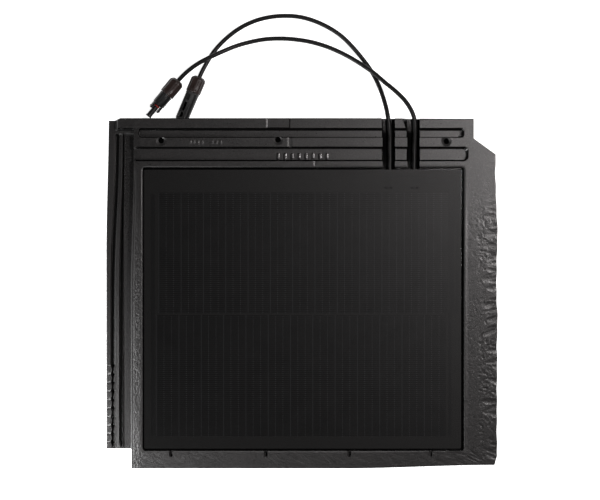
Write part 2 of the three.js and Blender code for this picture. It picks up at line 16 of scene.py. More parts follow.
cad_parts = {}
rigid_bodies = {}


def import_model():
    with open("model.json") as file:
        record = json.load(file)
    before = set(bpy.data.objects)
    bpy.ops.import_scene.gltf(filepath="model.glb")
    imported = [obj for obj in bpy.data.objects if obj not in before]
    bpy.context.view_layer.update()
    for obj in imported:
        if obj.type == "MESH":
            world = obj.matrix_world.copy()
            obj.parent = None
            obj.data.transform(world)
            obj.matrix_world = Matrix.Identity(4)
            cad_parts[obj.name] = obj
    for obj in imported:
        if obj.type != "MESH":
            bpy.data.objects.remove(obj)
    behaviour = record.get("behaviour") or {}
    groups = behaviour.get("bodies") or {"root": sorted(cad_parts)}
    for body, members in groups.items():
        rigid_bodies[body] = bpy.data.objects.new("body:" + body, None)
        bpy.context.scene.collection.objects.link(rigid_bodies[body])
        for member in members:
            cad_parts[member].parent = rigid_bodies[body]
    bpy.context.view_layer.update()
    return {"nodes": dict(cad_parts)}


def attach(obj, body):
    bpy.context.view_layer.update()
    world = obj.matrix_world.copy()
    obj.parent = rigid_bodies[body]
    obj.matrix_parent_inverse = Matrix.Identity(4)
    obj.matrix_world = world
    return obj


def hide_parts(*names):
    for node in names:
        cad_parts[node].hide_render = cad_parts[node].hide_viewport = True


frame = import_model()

MM = 0.001
scene = bpy.context.scene

# ------------------------------------------------------------------ places, in millimetres

FACE = 37.0
HEAD_LEVEL = FACE - 1.0
UNDER = 18.0
ABOVE = FACE + 3
LEFT, RIGHT, TAIL, HEAD = -261.8, 261.0, -234.0, 233.3
BODY_LEFT = -229.1
RECESS = (-212.9, 216.2, -210.8, 167.8)
RECESS_FLOOR = 29.0
RECESS_CORNER = 3.5
GROOVES = [(-255.6, -250.7), (-244.2, -239.2)]
CHANNEL_LEFTS = (107.3, 140.3)
CHANNEL_WIDTH = 16.7
CONNECTOR_Z = 9.75
CABLE_DIAMETER = 6.0
NAIL_BAND_MIDDLE = 201.5

LEFT_CABLE_ROUTE = [
    (117.5, 147, 24.6), (117.5, 161, 24.6), (117.5, 176, 24.6), (117.5, 192, 25), (117.4, 210, 26.2),
    (116.4, 224, 27.5), (114.8, 236, 27.2), (112.6, 248, 24.4), (109.2, 261, 19.4), (104.6, 275, 13),
    (98.6, 289, 7.1), (90.5, 303, 4), (76, 322, 3.2), (59.5, 340, 3.2), (43, 353, 3.2), (22, 364, 3.2),
    (0, 371, 3.2), (-21, 373, 3.2), (-43, 371.4, 3.2), (-65, 365.6, 3.2), (-86, 355, 3.2),
    (-105, 340, 3.4), (-118.5, 325, 4.5), (-126.5, 312.5, 6.2), (-132, 302.5, 7.9),
    (-135.8, 294.8, 9.1), (-138.1, 289.3, 9.6), (-143.2, 277.3, 9.75), (-148.2, 265.4, 9.75),
]
RIGHT_CABLE_ROUTE = [
    (150, 147, 24.6), (150, 161, 24.6), (150, 176, 24.6), (150.3, 192, 25), (150.7, 210, 26.4),
    (151, 223, 27.9), (149.6, 235, 28.4), (144.6, 247, 27.4), (136, 259.5, 24.8), (124, 271.5, 20.6),
    (110.5, 283, 15.8), (97.5, 294.5, 12.6), (86, 303, 10), (75, 310.5, 7), (63.5, 317.5, 5),
    (50, 324.5, 3.8), (32, 332, 3.3), (11, 338, 3.2), (-11, 341.4, 3.2), (-32, 342.4, 3.2),
    (-53, 341, 3.3), (-74, 336.6, 4.3), (-90, 331.6, 6.3), (-105, 325.2, 9.4), (-118, 319.2, 11.6),
    (-129, 313.9, 12.3), (-139, 308.4, 11.9), (-148.5, 302, 11), (-156.6, 295.4, 10.1),
    (-162.7, 289.4, 9.8), (-166.8, 284.9, 9.75), (-175.2, 274.9, 9.75), (-183.5, 265, 9.75),
]

# ------------------------------------------------------------------ camera

CAMERA_HEIGHT = 3.0
CAMERA_X, CAMERA_Y = -0.0027, 0.0573
VIEW_WIDTH = 0.8
SENSOR_WIDTH = 36
camera_data = bpy.data.cameras.new("camera")
camera_data.sensor_width = SENSOR_WIDTH
camera_data.lens = SENSOR_WIDTH * CAMERA_HEIGHT / VIEW_WIDTH
camera = bpy.data.objects.new("camera", camera_data)
camera.location = (CAMERA_X, CAMERA_Y, CAMERA_HEIGHT + FACE * MM)
scene.collection.objects.link(camera)
scene.camera = camera


# ------------------------------------------------------------------ node materials

class Nodes:
    """A material's node tree, with short calls for the nodes it is made of."""

    def __init__(self, name):
        self.material = bpy.data.materials.new(name)
        self.material.use_nodes = True
        self.tree = self.material.node_tree
        self.shader = self.tree.nodes["Principled BSDF"]
        self.place = self.add("ShaderNodeTexCoord").outputs["Object"]

    def add(self, kind, **settings):
        node = self.tree.nodes.new(kind)
        for key, value in settings.items():
            setattr(node, key, value)
        return node

    def feed(self, socket, value):
        if isinstance(value, bpy.types.NodeSocket):
            self.tree.links.new(value, socket)
        elif value is not None:
            socket.default_value = value

    def set(self, **values):
        for key, value in values.items():
            self.feed(self.shader.inputs[key.replace("_", " ")], value)

    def math(self, operation, a, b=None, c=None):
        node = self.add("ShaderNodeMath", operation=operation)
        for socket, value in zip(node.inputs, (a, b, c)):
            self.feed(socket, value)
        return node.outputs[0]

    def product(self, *values):
        """The product: 1 only where every value is 1."""
        return functools.reduce(lambda a, b: self.math("MULTIPLY", a, b), values)

    def largest(self, *values):
        """The largest of the values."""
        return functools.reduce(lambda a, b: self.math("MAXIMUM", a, b), values)

    def away(self, value, middle):
        """How far the value is from the middle, either way."""
        return self.math("ABSOLUTE", self.math("SUBTRACT", value, middle))

    def noise(self, scale, detail=3.0, roughness=0.55, place=None):
        node = self.add("ShaderNodeTexNoise")
        self.feed(node.inputs["Vector"], place or self.place)
        node.inputs["Scale"].default_value = scale
        node.inputs["Detail"].default_value = detail
        node.inputs["Roughness"].default_value = roughness
        return node.outputs["Fac"]

    def stretched(self, scale):
        node = self.add("ShaderNodeMapping")
        self.feed(node.inputs["Vector"], self.place)
        node.inputs["Scale"].default_value = scale
        return node.outputs["Vector"]

    def ramp(self, value, low, high, to_low=0.0, to_high=1.0):
        node = self.add("ShaderNodeMapRange", clamp=True)
        for socket, number in zip(node.inputs, (value, low, high, to_low, to_high)):
            self.feed(socket, number)
        return node.outputs[0]

    def fade(self, place, low, high, to_high=1.0):
        """Goes from 0 to to_high as a place goes from low to high, in millimetres."""
        return self.ramp(place, low * MM, high * MM, 0.0, to_high)

    def clouds(self, scale, detail=3.0, to_low=0.0, to_high=1.0, roughness=0.55):
        """Soft patches between two values."""
        return self.ramp(self.noise(scale, detail, roughness), 0.3, 0.7, to_low, to_high)

    def worn(self, low, high):
        """1 on the sharp outer edges."""
        return self.ramp(self.add("ShaderNodeNewGeometry").outputs["Pointiness"], low, high)

    def mix(self, factor, a, b):
        node = self.add("ShaderNodeMix", data_type="RGBA")
        self.feed(node.inputs[0], factor)
        self.feed(node.inputs[6], a)
        self.feed(node.inputs[7], b)
        return node.outputs[2]

    def bump(self, height, strength, distance):
        node = self.add("ShaderNodeBump")
        node.inputs["Strength"].default_value = strength
        node.inputs["Distance"].default_value = distance
        self.feed(node.inputs["Height"], height)
        self.feed(self.shader.inputs["Normal"], node.outputs[0])

    def xyz(self):
        node = self.add("ShaderNodeSeparateXYZ")
        self.feed(node.inputs[0], self.place)
        return node.outputs


def grey(value, tint=(1.0, 1.0, 1.0)):
    return (value * tint[0], value * tint[1], value * tint[2], 1.0)


def painted_hollow_shade(n, facing_up):
    """Painted shade: 1 in the tile's hollows, where shade falls, and less in the side lock's groove and
    land.
    """
    x, y, z = n.xyz()
    lead_ways_middle = (CHANNEL_LEFTS[0] + CHANNEL_LEFTS[1] + CHANNEL_WIDTH) / 2
    lead_way_offset = (CHANNEL_LEFTS[1] - CHANNEL_LEFTS[0]) / 2
    off_lead_way = n.away(n.away(x, lead_ways_middle * MM), lead_way_offset * MM)
    off_band = n.away(y, NAIL_BAND_MIDDLE * MM)
    off_head = n.fade(y, 219, 210)
    recess = n.product(n.fade(x, -214.5, -213.5), n.fade(z, 31.2, 30.6), off_head)
    lead_way = n.product(n.fade(off_lead_way, 9.3, 8.9), n.fade(z, 35.5, 34.5), off_head)
    nail_shaft = n.product(n.fade(off_band, 5.6, 5.0), n.fade(z, 34.4, 33.8), n.fade(x, -222.5, -220.5))
    beside_rim = n.product(n.fade(y, 215.5, 216.2), n.fade(x, -247.5, -246.5))
    steep = n.product(n.ramp(facing_up, 0.985, 0.93), n.largest(n.fade(x, -222.5, -221.5), beside_rim))
    off_nails = n.product(n.fade(off_band, 4.8, 5.4), n.fade(y, 174.5, 175.5), n.fade(z, 36.4, 35.8))
    groove = n.product(n.fade(x, -237.2, -238.0), n.fade(z, 24.3, 23.2), n.fade(y, 213.5, 212.5, 0.5))
    land = n.product(n.fade(x, -238.0, -237.0), n.fade(x, -223.5, -224.5), n.fade(z, 26.5, 25.5),
                  n.fade(y, 20, 140, 0.27))
    return n.largest(recess, lead_way, nail_shaft, n.product(steep, off_nails), groove, land)


def clay_material():
    """Matt black engobe: a sandy grain, soft cloudy patches, paler worn arrises, and painted shade that
    darkens the hollows.
    """
    n = Nodes("clay")
    upward = n.add("ShaderNodeSeparateXYZ")
    n.feed(upward.inputs[0], n.add("ShaderNodeNewGeometry").outputs["True Normal"])
    # Painted shade for the hollows: 1 where they are darkened.
    painted_shade = painted_hollow_shade(n, upward.outputs["Z"])
    speckle = n.ramp(n.noise(620, 3, 0.7), 0.45, 0.7)
    base = n.mix(n.clouds(26, 4), grey(0.007, (1.04, 0.99, 0.99)), grey(0.010, (1.05, 0.985, 0.985)))
    dusty = n.mix(n.product(speckle, 0.5), base, grey(0.04, (1.04, 1.0, 0.99)))
    weathered = n.mix(n.product(n.worn(0.52, 0.6), 0.5), dusty, grey(0.03))
    # Painted shade: the colour goes almost black in the hollows.
    n.set(Base_Color=n.mix(painted_shade, weathered, grey(0.0015)))
    sandy = n.clouds(400, 4, 0.262, 0.384, roughness=0.7)
    arris = n.ramp(upward.outputs["Z"], 0.998, 0.965, 0.0, 0.54)
    # The same painted-shade mask also lowers the roughness in the hollows.
    n.set(Roughness=n.product(n.largest(sandy, arris), n.ramp(painted_shade, 0.0, 1.0, 1.0, 0.3)))
    grain = n.math("MULTIPLY_ADD", n.noise(420, 3), 0.8, n.noise(1300, 2))
    n.bump(grain, strength=0.45, distance=0.00032)
    return n.material


def glass_material():
    """Solar glass, satin from its fine pebbled face. Each face of the sheet dims what lies under it."""
    n = Nodes("solar_glass")
    n.set(Base_Color=grey(0.003), Alpha=0.25, IOR=1.5)
    n.set(Roughness=n.clouds(60, 3, 0.345, 0.366))
    n.bump(n.noise(2600, 1), strength=0.12, distance=0.00008)
    return n.material


def film_material():
    """The clear film under the glass."""
    n = Nodes("clear_film")
    n.set(Base_Color=grey(0.02), Alpha=0.05, Roughness=0.5)
    n.bump(n.noise(900, 2), strength=0.1, distance=0.00005)
    return n.material


# The cells, in metres and in shares of a cell's pitch.
CELL_PITCH = 0.0298
CELL_LEFT = {"upper": -0.1918, "lower": -0.1947}
FINGER_PITCH = 0.0027
OVERLAP_SHARE, BUS_SHARE, FINGER_SHARE = 0.034, 0.065, 0.3


def cell_material(row):
    """Blue-black silicon: a bright edge where the strips overlap, two thin bus lines and fine fingers."""
    n = Nodes(f"cell_{row}")
    x, y, _ = n.xyz()
    along = n.math("DIVIDE", n.math("SUBTRACT", x, CELL_LEFT[row]), CELL_PITCH)
    across = n.math("FRACT", along)
    thirds = n.math("FRACT", n.math("MULTIPLY", along, 3.0))
    edge = n.math("LESS_THAN", across, OVERLAP_SHARE)
    bus = n.math("LESS_THAN", thirds, BUS_SHARE)
    finger = n.math("LESS_THAN", n.math("FRACT", n.math("DIVIDE", y, FINGER_PITCH)), FINGER_SHARE)
    cloud = n.clouds(40, 4)
    silicon = n.mix(cloud, grey(0.0022, (0.9, 0.95, 1.2)), grey(0.0034, (0.92, 0.97, 1.15)))
    fingered = n.mix(finger, silicon, grey(0.02, (0.98, 1.0, 1.04)))
    bussed = n.mix(n.product(bus, finger), fingered, grey(0.14, (0.97, 1.0, 1.06)))
    n.set(Base_Color=n.mix(edge, bussed, grey(0.04, (0.95, 1.0, 1.08))))
    n.set(Roughness=n.ramp(cloud, 0.0, 1.0, 0.34, 0.38))
    return n.material


def black_film_material():
    """The black sheets behind the cells."""
    n = Nodes("black_film")
    n.set(Base_Color=n.mix(n.clouds(55, 4), grey(0.004), grey(0.006)), Roughness=0.5)
    n.bump(n.noise(1100, 2), strength=0.2, distance=0.0001)
    return n.material


def ribbon_material():
    """Tinned copper under a dark lacquer, brushed along its length."""
    n = Nodes("ribbon")
    brushed = n.ramp(n.noise(900, 2, place=n.stretched((1, 0.04, 1))), 0.35, 0.65)
    n.set(Base_Color=n.mix(brushed, grey(0.007, (0.95, 1.0, 1.1)), grey(0.011, (0.95, 1.0, 1.1))))
    n.set(Metallic=0.2, Roughness=0.42)
    return n.material


def moulded_plastic(name, dark, light):
    """Moulded plastic between two colours, with a fine grain and paler worn edges."""
    n = Nodes(name)
    plain = n.mix(n.clouds(150), dark, light)
    n.set(Base_Color=n.mix(n.product(n.worn(0.53, 0.62), 0.25), plain, grey(0.07)))
    n.set(Roughness=n.clouds(500, 2, 0.36, 0.46), Specular_IOR_Level=0.3)
    n.bump(n.noise(1400, 2), strength=0.22, distance=0.0001)
    return n.material


def jacket_material():
    """The cable's jacket: satin, with a fine grain and faint dust."""
    n = Nodes("cable_jacket")
    dust = n.ramp(n.noise(220, 4), 0.45, 0.8)
    n.set(Base_Color=n.mix(n.product(dust, 0.5), grey(0.009), grey(0.02)))
    n.set(Roughness=n.clouds(700, 2, 0.36, 0.42), Specular_IOR_Level=0.16)
    n.bump(n.noise(1600, 2), strength=0.15, distance=0.00008)
    return n.material


def rubber(name, dark, light, roughness=0.55):
    """Rubber or silicone between two colours."""
    n = Nodes(name)
    n.set(Base_Color=n.mix(n.clouds(300), dark, light))
    n.set(Roughness=n.clouds(800, 2, roughness - 0.06, roughness + 0.06))
    n.bump(n.noise(1500, 2), strength=0.2, distance=0.0001)
    return n.material


def metal(name, dark, light):
    """Bare metal between two colours."""
    n = Nodes(name)
    n.set(Base_Color=n.mix(n.clouds(500), dark, light), Metallic=1.0)
    n.set(Roughness=n.clouds(1200, 2, 0.22, 0.38))
    return n.material


CLAY = clay_material()
GLASS = glass_material()
FILM = film_material()
CELLS = {row: cell_material(row) for row in CELL_LEFT}
BLACK_FILM = black_film_material()
RIBBON = ribbon_material()
NUT_PLASTIC = moulded_plastic(
    "nut_plastic", grey(0.011, (1.5, 0.93, 0.82)), grey(0.017, (1.5, 0.93, 0.84)))
HOUSING_PLASTIC = moulded_plastic("housing_plastic", grey(0.009), grey(0.014, (0.97, 1.0, 1.03)))
BOX_PLASTIC = moulded_plastic("box_plastic", grey(0.014), grey(0.022))
DIODE_PLASTIC = moulded_plastic("diode_plastic", grey(0.01), grey(0.016))
JACKET = jacket_material()
SEAL_RUBBER = rubber("seal_rubber", grey(0.012), grey(0.02))
RED_RUBBER = rubber("red_rubber", (0.3, 0.025, 0.02, 1), (0.4, 0.035, 0.028, 1), 0.42)
SILICONE = rubber("silicone", grey(0.02), grey(0.03), 0.6)
TINNED = metal("tinned_copper", (0.55, 0.54, 0.5, 1), (0.72, 0.71, 0.67, 1))


# ------------------------------------------------------------------ mesh helpers

def make_object(name, vertices, faces, matrix=None):
    """A mesh object from millimetre vertices, placed by an optional millimetre matrix."""
    mesh = bpy.data.meshes.new(name)
    points = np.asarray(vertices, dtype=float)
    if matrix is not None:
        turned = np.array(matrix)
        points = points @ turned[:3, :3].T + turned[:3, 3]
    mesh.from_pydata((points * MM).tolist(), [], faces)
    mesh.validate()
    obj = bpy.data.objects.new(name, mesh)
    scene.collection.objects.link(obj)
    return obj


def close_up(obj):
    """Merges meeting vertices and turns every face outwards."""
    work = bmesh.new()
    work.from_mesh(obj.data)
    bmesh.ops.remove_doubles(work, verts=work.verts, dist=1e-7)
    bmesh.ops.recalc_face_normals(work, faces=work.faces)
    work.to_mesh(obj.data)
    work.free()
    return obj


def combine(obj, tools, operation):
    """Joins, cuts or intersects obj with each tool, in place, and removes the tools."""
    for tool in tools:
        modifier = obj.modifiers.new("boolean", "BOOLEAN")
        modifier.operation = operation
        modifier.solver = "MANIFOLD"
        modifier.object = tool
    apply_modifiers(obj)
    for tool in tools:
        bpy.data.objects.remove(tool)


def apply_modifiers(obj):
    evaluated = obj.evaluated_get(bpy.context.evaluated_depsgraph_get())
    mesh = bpy.data.meshes.new_from_object(evaluated)
    obj.modifiers.clear()
    obj.data = mesh


def add_bevel(obj, width, segments=2, angle=35):
    """Rounds the edges sharper than angle by width millimetres."""
    modifier = obj.modifiers.new("arris", "BEVEL")
    modifier.width = width * MM
    modifier.segments = segments
    modifier.limit_method = "ANGLE"
    modifier.angle_limit = math.radians(angle)


def soften(obj, width, segments=2, angle=35):
    """The same bevel, worked into the mesh."""
    add_bevel(obj, width, segments, angle)
    apply_modifiers(obj)
    return obj


def shade(obj, material, angle=38):
    """Gives the material, and smooth shading that breaks at edges sharper than angle."""
    obj.data.materials.clear()
    obj.data.materials.append(material)
    obj.data.shade_smooth()
    obj.data.set_sharp_from_angle(angle=math.radians(angle))
    return obj


def prism(name, points, low, high, matrix=None):
    """A flat outline of (x, y) points, standing from low to high."""
    count = len(points)
    vertices = [(x, y, low) for x, y in points] + [(x, y, high) for x, y in points]
    faces = [tuple(range(count))[::-1], tuple(range(count, 2 * count))]
    faces += [(i, (i + 1) % count, count + (i + 1) % count, count + i) for i in range(count)]
    return close_up(make_object(name, vertices, faces, matrix))


def rounded_rectangle(half_width, half_height, corner, steps):
    """The outline of a rectangle about the origin, each corner an arc of so many steps."""
    points = []
    for sx, sy, start in ((1, -1, -90), (1, 1, 0), (-1, 1, 90), (-1, -1, 180)):
        cx, cy = sx * (half_width - corner), sy * (half_height - corner)
        for k in range(steps + 1):
            angle = math.radians(start + 90 * k / steps)
            points.append((cx + corner * math.cos(angle), cy + corner * math.sin(angle)))
    return points


def block(name, x, y, z, matrix=None):
    return prism(name, [(x[0], y[0]), (x[1], y[0]), (x[1], y[1]), (x[0], y[1])], z[0], z[1], matrix)


def tapered_block(name, x, y, z, draft):
    """A moulded block, narrower at its low end by draft on each side."""
    (x0, x1), (y0, y1), (z0, z1) = x, y, z
    vertices = []
    for z, inset in ((z0, draft), (z1, 0)):
        vertices += [(x0 + inset, y0 + inset, z), (x1 - inset, y0 + inset, z)]
        vertices += [(x1 - inset, y1 - inset, z), (x0 + inset, y1 - inset, z)]
    faces = [(3, 2, 1, 0), (4, 5, 6, 7)]
    faces += [(i, (i + 1) % 4, 4 + (i + 1) % 4, 4 + i) for i in range(4)]
    return close_up(make_object(name, vertices, faces))


def revolve(name, profile, sides, matrix=None, radius=None):
    """A closed (x, r) profile turned about X. radius(x, r, angle) may reshape it."""
    vertices = []
    for x, r in profile:
        for k in range(sides):
            angle = 2 * math.pi * k / sides
            reach = radius(x, r, angle) if radius else r
            vertices.append((x, reach * math.cos(angle), reach * math.sin(angle)))
    rows = len(profile)
    faces = []
    for i in range(rows):
        j = (i + 1) % rows
        if profile[i][1] == 0 and profile[j][1] == 0:
            continue
        for k in range(sides):
            m = (k + 1) % sides
            faces.append((i * sides + k, i * sides + m, j * sides + m, j * sides + k))
    return close_up(make_object(name, vertices, faces, matrix))


def rounded_corners(points, radius, steps=3):
    """The closed (x, r) profile with each corner off the axis turned into a short arc."""
    result = []
    count = len(points)
    for i in range(count):
        here = Vector(points[i])
        before = Vector(points[i - 1]) - here
        after = Vector(points[(i + 1) % count]) - here
        reach = min(radius, before.length * 0.45, after.length * 0.45)
        if here.y == 0:
            result.append(tuple(here))
            continue
        start = here + before.normalized() * reach
        end = here + after.normalized() * reach
        for k in range(steps + 1):
            t = k / steps
            result.append(tuple(start * (1 - t) ** 2 + here * 2 * t * (1 - t) + end * t * t))
    return result


# ------------------------------------------------------------------ cables

def cable(name, route):
    """A smooth Bezier through the route's points, each handle a third of the way along the curve."""
    data = bpy.data.curves.new(name, "CURVE")
    data.dimensions = "3D"
    data.bevel_depth = CABLE_DIAMETER / 2 * MM
    data.bevel_resolution = 6
    data.resolution_u = 8
    data.use_fill_caps = True
    points = [Vector(p) * MM for p in route]
    spline = data.splines.new("BEZIER")
    spline.bezier_points.add(len(points) - 1)
    for i, knot in enumerate(spline.bezier_points):
        before = points[max(i - 1, 0)]
        after = points[min(i + 1, len(points) - 1)]
        reach = (after - before) / (3 if i in (0, len(points) - 1) else 6)
        knot.co = points[i]
        knot.handle_left_type = knot.handle_right_type = "FREE"
        knot.handle_left = points[i] - reach
        knot.handle_right = points[i] + reach
    data.materials.append(JACKET)
    obj = bpy.data.objects.new(name, data)
    scene.collection.objects.link(obj)
    return obj


left_cable = cable("left_lead", LEFT_CABLE_ROUTE)
right_cable = cable("right_lead", RIGHT_CABLE_ROUTE)


# ------------------------------------------------------------------ clay tile: relief of the weather face

GRID_FINE = 0.9
GRID_FLANGE = 0.6
GRID_WIDE = 3.0

CHANNELS = [
    {"outer": (-219.5, 216.6, 207.2, 220.3), "corner": 5.0, "floor": 32.0},
    {"outer": (-240.0, 222.2, 176.0, 195.4), "corner": 7.0, "floor": 32.5},
]
STEEP_WALL, SLOPED_WALL = 1.2, 3.4

# Low steps across the head's bands: between two places along Y, the band falls or rises from x on.
STEPS = [
    {"x": -48.0, "y": (220.3, 240), "rise": -0.5, "ramp": 2.4},
    {"x": -16.7, "y": (220.3, 240), "rise": 0.5, "ramp": 0.8},
    {"x": -19.5, "y": (194.5, 207.6), "rise": -0.5, "ramp": 2.0},
    {"x": -14.0, "y": (194.5, 207.6), "rise": 0.5, "ramp": 1.0},
    {"x": 15.0, "y": (168.0, 176.4), "rise": -0.5, "ramp": 2.0},
    {"x": 19.0, "y": (168.0, 176.4), "rise": 0.5, "ramp": 1.0},
]

# Raised ticks: rows of plain upright bars, each (first x, pitch, count, half width, y from, y to, rise).
TICK_ROWS = [
    (-149.0, 5.3, 4, 0.9, 198.6, 203.4, 0.4),
    (-119.5, 5.6, 3, 0.9, 198.6, 203.4, 0.4),
    (-32.0, 9.3, 8, 1.5, 178.6, 186.2, 0.42),
]
GROOVE_FLOOR, RIB_TOP, LAND_TOP = 21.0, 27.5, 24.5
GROOVE_WALL = 0.8
GROOVE_TAIL, GROOVE_HEAD = -206.5, 213.5
TAIL_TAPER, HEAD_ROUND = 7.0, 3.0
SILL_TAIL, SILL_SLOPE = 211.0, 3.0
LAND_LEFT = GROOVES[1][1]
LAND_EDGE = 0.9
HEAD_RIB_LEFT, HEAD_RIB_RIGHT, HEAD_RIB_TAIL = -256.0, -214, 216.5

# The outer rib is scalloped: its lobes, how far they narrow each groove, and the dents between them.
LOBE_PITCH, LOBE_FIRST, LOBE_COUNT = 11.4, -97.0, 9
LOBE_NARROWING = (1.575, 0.0)
DENT_LEFT, DENT_DEPTH, DENT_EXTRA = -255.8, 0.3, 1.3

# The inner rib falls away towards its groove: less towards the tail and more towards the head.
RIB_WIDTH, RIB_FALL, LESS_AT_TAIL, MORE_AT_HEAD = 6.5, 0.42, 0.2, 0.45

# How far the body's left rim lies below the face, at each x.
RIM_PROFILE = [(-228.6, 1.9), (-227.2, 1.35), (-225.1, 1.3), (-223.6, 0.85), (-220.4, 0.4), (-216, 0)]

# How far the side lock's lines lean to the right on their way up to the head, at each x.
LEAN = [
    (LEFT, 0), (-257, 2.0), (-255.6, 3.7), (-250.7, 4.3), (-244.2, 3.2), (-239.2, 0.3),
    (-229, 4.3), (-222, 2.0), (-214, 0),
]
LEAN_HEAD = 175


def ease(t):
    """Smoothly from 0 to 1 as t goes from 0 to 1."""
    t = np.clip(t, 0.0, 1.0)
    return t * t * (3 - 2 * t)


def rounded_box_distance(x, y, box, radius):
    """Distance outside a rounded rectangle, negative inside."""
    x0, x1, y0, y1 = box
    qx = np.abs(x - (x0 + x1) / 2) - (x1 - x0) / 2 + radius
    qy = np.abs(y - (y0 + y1) / 2) - (y1 - y0) / 2 + radius
    outside = np.hypot(np.maximum(qx, 0), np.maximum(qy, 0))
    return outside + np.minimum(np.maximum(qx, qy), 0) - radius


LEFT_DRAWN_IN = 3.4
RIGHT_AT_HEAD, RIGHT_SWELL, RIGHT_WOBBLE = 258.3, 1.8, 0.6


def left_outline(y):
    """The flange's outer edge, drawn in a little towards the head."""
    return LEFT + LEFT_DRAWN_IN * ease((y - 50) / 200)


def right_outline(y, wobble):
    """The right edge, hand-dressed below the head shoulder."""
    return np.minimum(RIGHT_AT_HEAD + RIGHT_SWELL * ease((183 - y) / 120) + RIGHT_WOBBLE * wobble, RIGHT)


def flange_height(x, y):
    """Ribs, grooves and the low land of the side lock."""
    up_inner_rib = np.clip((x - GROOVES[0][1]) / RIB_WIDTH, 0, 1)
    rib_fall = RIB_FALL - LESS_AT_TAIL * ease((-60 - y) / 100) + MORE_AT_HEAD * ease((y - 60) / 100)
    height = RIB_TOP - np.where(x > GROOVES[0][1], rib_fall * (1 - up_inner_rib**2), 0.0)
    lobes = np.abs(np.sin(np.pi * (y - LOBE_FIRST) / LOBE_PITCH))
    lobed = (y < LOBE_FIRST) & (y > LOBE_FIRST - LOBE_COUNT * LOBE_PITCH)
    land = ease((x - LAND_LEFT) / LAND_EDGE)
    height = height * (1 - land) + LAND_TOP * land
    for (x0, x1), narrowing in zip(GROOVES, LOBE_NARROWING):
        half = (x1 - x0) / 2 - np.where(lobed, lobes, 0.0) * narrowing
        tail_taper = np.clip((y - GROOVE_TAIL) / TAIL_TAPER, 0.0, 1.0)
        head_round = np.sqrt(np.clip((GROOVE_HEAD - y) / HEAD_ROUND, 0.0, 1.0))
        half = half * tail_taper * head_round
        depth = ease((half - np.abs(x - (x0 + x1) / 2)) / GROOVE_WALL + 0.5) * (half > 0.05)
        height -= (height - GROOVE_FLOOR) * depth
    dent = np.where(lobed, ease((0.45 - lobes) / 0.12), 0.0)
    height -= dent * (DENT_DEPTH + DENT_EXTRA * np.clip((DENT_LEFT - x) / 6.0, 0, 1)) * (x < GROOVES[0][0])
    sill = ease((y - SILL_TAIL) / SILL_SLOPE)
    return height * (1 - sill) + np.maximum(height, RIB_TOP) * sill


def channel_depth(x, y, channel):
    """0 on the land and 1 on the channel's floor. The head and right walls slope, the others are steep."""
    x0, x1, y0, y1 = channel["outer"]
    inner = (x0 + STEEP_WALL, x1 - SLOPED_WALL, y0 + STEEP_WALL, y1 - SLOPED_WALL)
    down = np.maximum(-rounded_box_distance(x, y, channel["outer"], channel["corner"]), 0)
    left_to_go = np.maximum(rounded_box_distance(x, y, inner, channel["corner"] - 2.0), 0)
    return ease(down / (down + left_to_go + 1e-6))


def head_block(x, y):
    """The head rib, which runs on over the flange and slopes down at its left end."""
    return ease((x - HEAD_RIB_LEFT) / 4) * ease((HEAD_RIB_RIGHT - x) / 4) * ease((y - HEAD_RIB_TAIL) / 3.8)


SCOOP_SEED = 11
LONG_CHIPS, SMALL_CHIPS, FINE_STROKES = 58, 260, 160
RIM_NICKS, TAIL_CHIPS = 420, 130
WAVES = 9


def scoop(height, xs, ys, centre, size, depth, angle):
    """One hollow struck out of the surface: a shallow bowl that meets it in a crisp rim."""
    reach = max(size)
    i0, i1 = np.searchsorted(xs, (centre[0] - reach, centre[0] + reach))
    j0, j1 = np.searchsorted(ys, (centre[1] - reach, centre[1] + reach))
    if i0 >= i1 or j0 >= j1:
        return
    x, y = np.meshgrid(xs[i0:i1] - centre[0], ys[j0:j1] - centre[1], indexing="ij")
    u = (x * math.cos(angle) + y * math.sin(angle)) / size[0]
    v = (-x * math.sin(angle) + y * math.cos(angle)) / size[1]
    bowl = FACE - depth * (1 - u * u - v * v)
    height[i0:i1, j0:j1] = np.minimum(height[i0:i1, j0:j1], bowl)


def dress_right_margin(height, xs, ys, rng):
    """Long chips off the right edge, small ones further in, a V struck near the head, and fine strokes."""
    for _ in range(LONG_CHIPS):
        size = (rng.uniform(8, 15), rng.uniform(2.5, 5.0))
        centre = (rng.uniform(252, 263), rng.uniform(-226, 160))
        scoop(height, xs, ys, centre, size, rng.uniform(0.08, 0.13) * size[1], rng.uniform(-0.5, 0.5))
    for _ in range(SMALL_CHIPS):
        size = (rng.uniform(1.5, 5), rng.uniform(1.0, 2.2))
        y = rng.choice((rng.uniform(44, 104), rng.uniform(-224, -60), rng.uniform(-224, 160)))
        centre = (rng.uniform(236, 258), y)
        scoop(height, xs, ys, centre, size, rng.uniform(0.1, 0.16) * size[1], rng.uniform(0, math.pi))
    for stroke_x, angle in ((246.2, -1.05), (250.2, -2.0)):
        scoop(height, xs, ys, (stroke_x, 148.5), (6.5, 1.5), 0.5, angle)
    for _ in range(FINE_STROKES):
        size = (rng.uniform(3, 9), rng.uniform(0.9, 1.8))
        centre = (rng.uniform(219, 245), rng.uniform(-222, 165))
        turn = rng.choice((-0.9, 0.75)) + rng.uniform(-0.3, 0.3)
        scoop(height, xs, ys, centre, size, rng.uniform(0.05, 0.1), turn)


def dress_left_rim(height, xs, ys, rng):
    """Small nicks between the side lock and the module."""
    for _ in range(RIM_NICKS):
        size = (rng.uniform(1.5, 5.0), rng.uniform(0.7, 1.3))
        centre = (rng.uniform(-223, -214), rng.uniform(-230, 165))
        scoop(height, xs, ys, centre, size, rng.uniform(0.12, 0.35), rng.uniform(0.7, 1.9))


